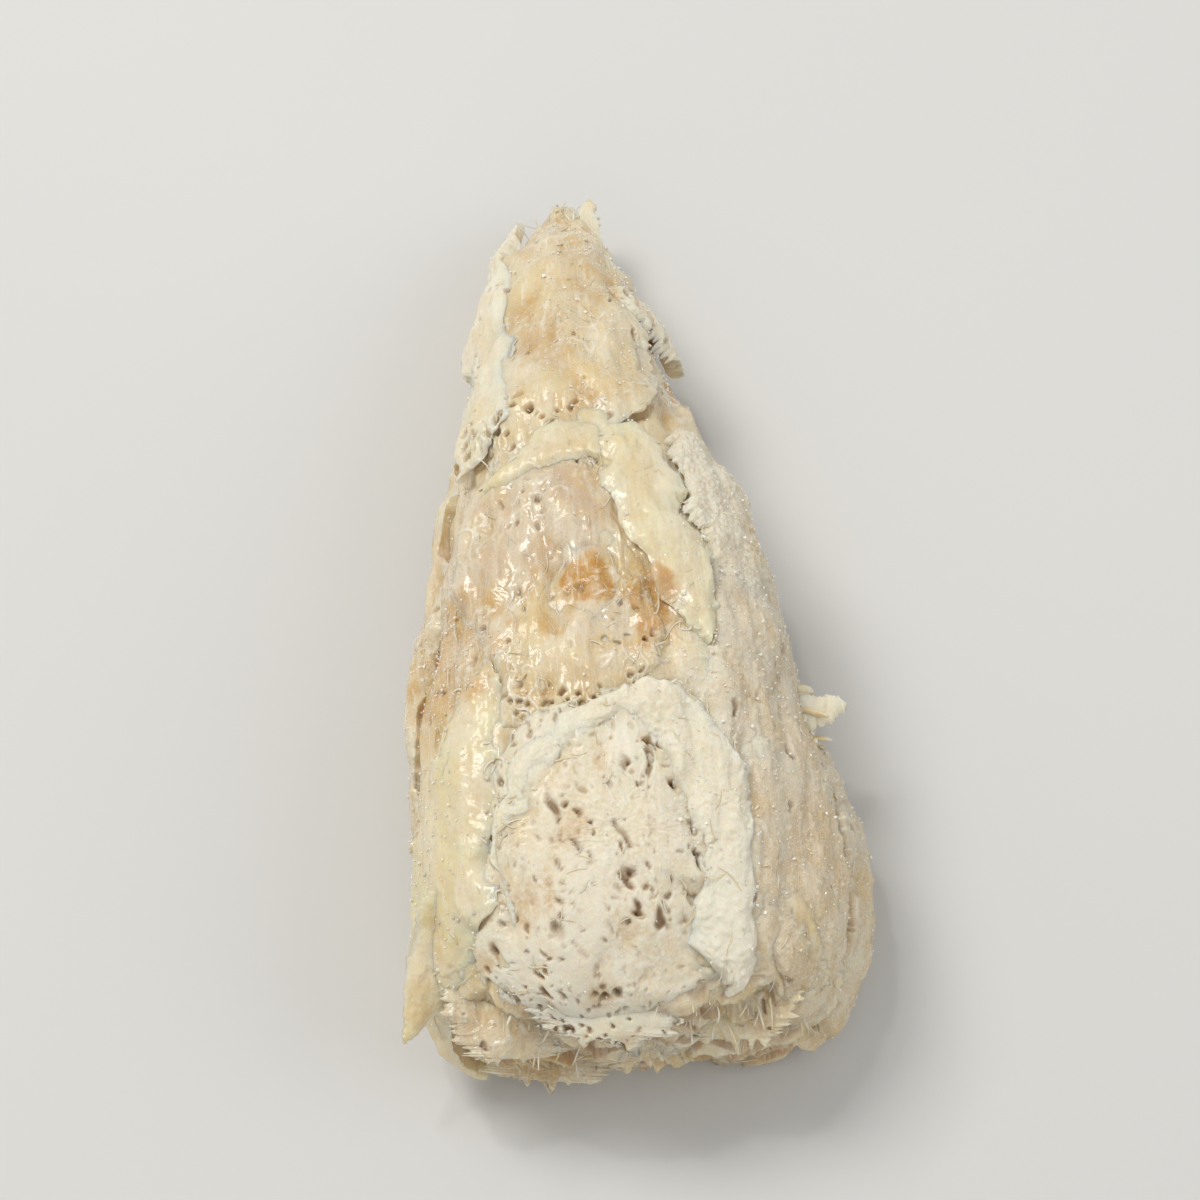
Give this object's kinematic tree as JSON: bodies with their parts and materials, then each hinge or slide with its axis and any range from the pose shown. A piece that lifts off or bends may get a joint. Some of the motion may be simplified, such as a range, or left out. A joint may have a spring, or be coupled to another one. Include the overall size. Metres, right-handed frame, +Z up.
{
  "type": "piece of salted dried cod",
  "caption": "Torn, flaky chunk of salted dried cod with peeling muscle flakes and a ragged broken end, lying on its flattened underside.",
  "frame": {"origin": "middle of the bounding box's bottom, on the surface that the chunk rests on", "axes": "+Z up; +Y along the muscle, towards the narrow end; +X to the right of someone who looks along +Y"},
  "size_m": [0.0468, 0.1008, 0.0288],
  "materials": {
    "flesh": "pale cream salted flesh, matt and slightly moist, with fine salt crystals"
  },
  "bodies": {
    "root": {"cod_chunk": "flesh"}
  },
  "joints": []
}
